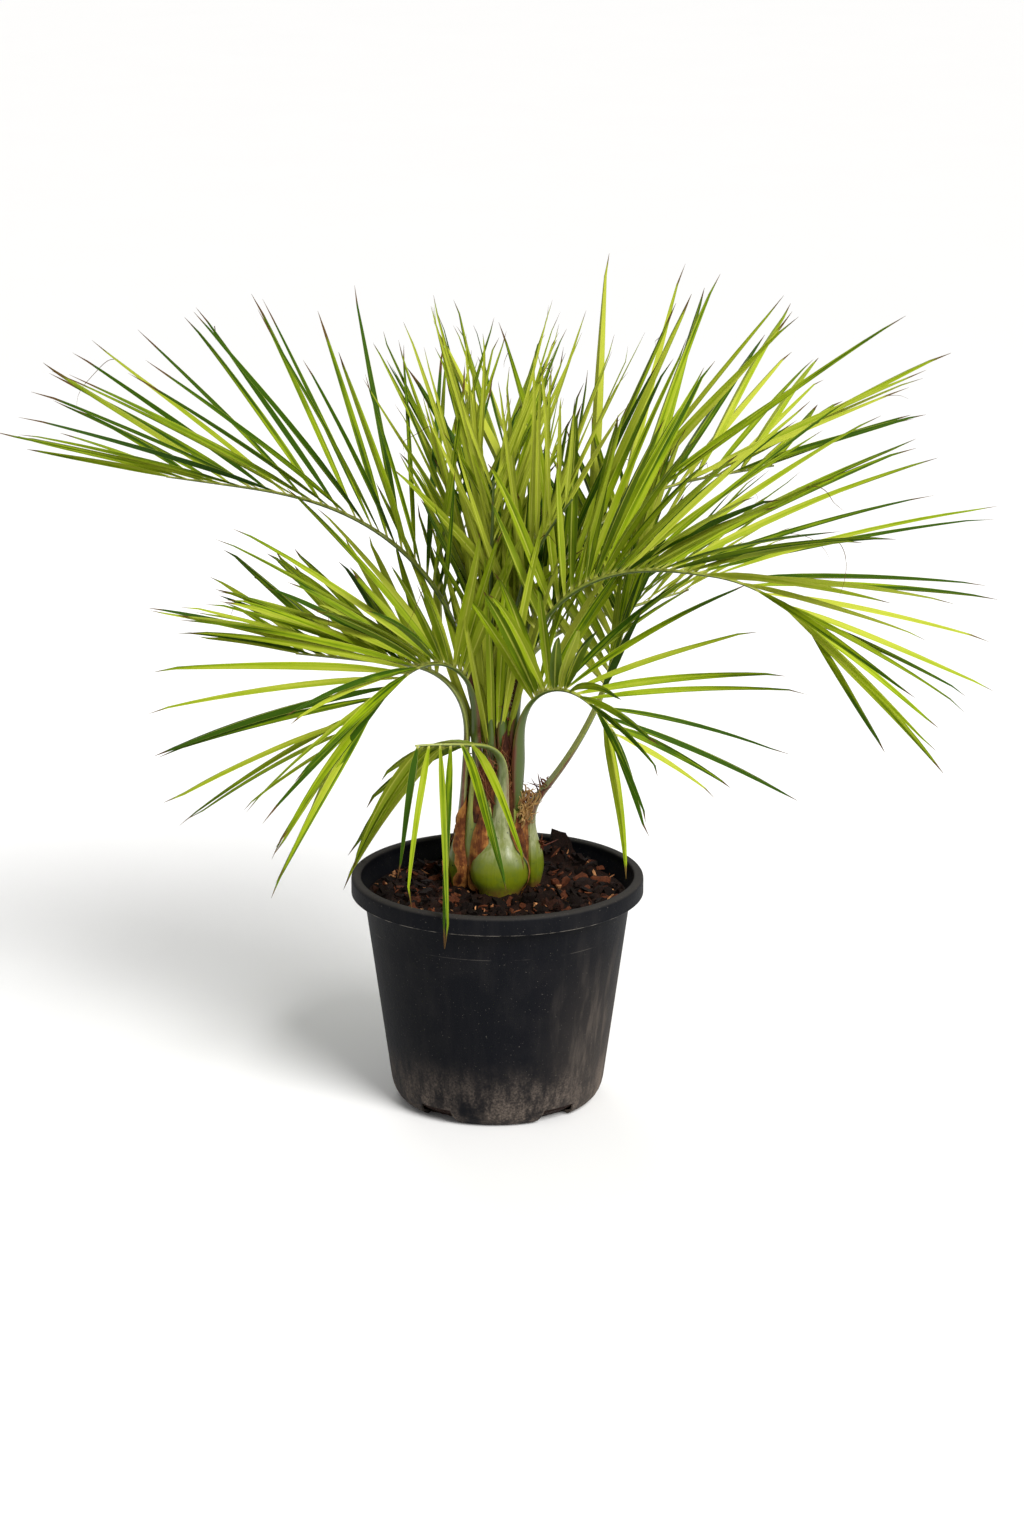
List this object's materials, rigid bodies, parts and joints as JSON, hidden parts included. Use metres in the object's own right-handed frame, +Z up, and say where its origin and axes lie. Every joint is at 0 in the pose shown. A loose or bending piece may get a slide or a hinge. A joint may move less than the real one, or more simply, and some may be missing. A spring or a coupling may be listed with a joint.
{
  "type": "potted jelly palm",
  "caption": "Young feather palm with arching fronds on swollen leaf bases, standing in bark soil in a black nursery pot.",
  "frame": {"origin": "centre of the pot's flat underside", "axes": "+Z up; -Y towards the side seen in the picture; +X to the right seen from there"},
  "size_m": [1.0082, 0.692, 0.8535],
  "materials": {
    "pot_plastic": "black moulded plastic, dusty towards the base",
    "bark_mix": "damp coarse bark chips",
    "stem_fibre": "brown matted leaf-base fibre",
    "leaf_green": "yellow-green satin leaflets, paler ribs and grey-green bases"
  },
  "bodies": {
    "root": {"pot": "pot_plastic", "soil": "bark_mix", "stem": "stem_fibre", "leaf_low_front": "leaf_green", "leaf_thorny": "leaf_green", "leaf_old_left": "leaf_green", "leaf_low_right": "leaf_green", "leaf_mid_back": "leaf_green", "leaf_low_left": "leaf_green", "leaf_mid_right": "leaf_green", "leaf_back_left": "leaf_green", "leaf_front_up": "leaf_green", "leaf_high_right": "leaf_green", "leaf_high_left": "leaf_green", "leaf_up_right": "leaf_green", "leaf_back": "leaf_green", "leaf_spear": "leaf_green"}
  },
  "joints": []
}
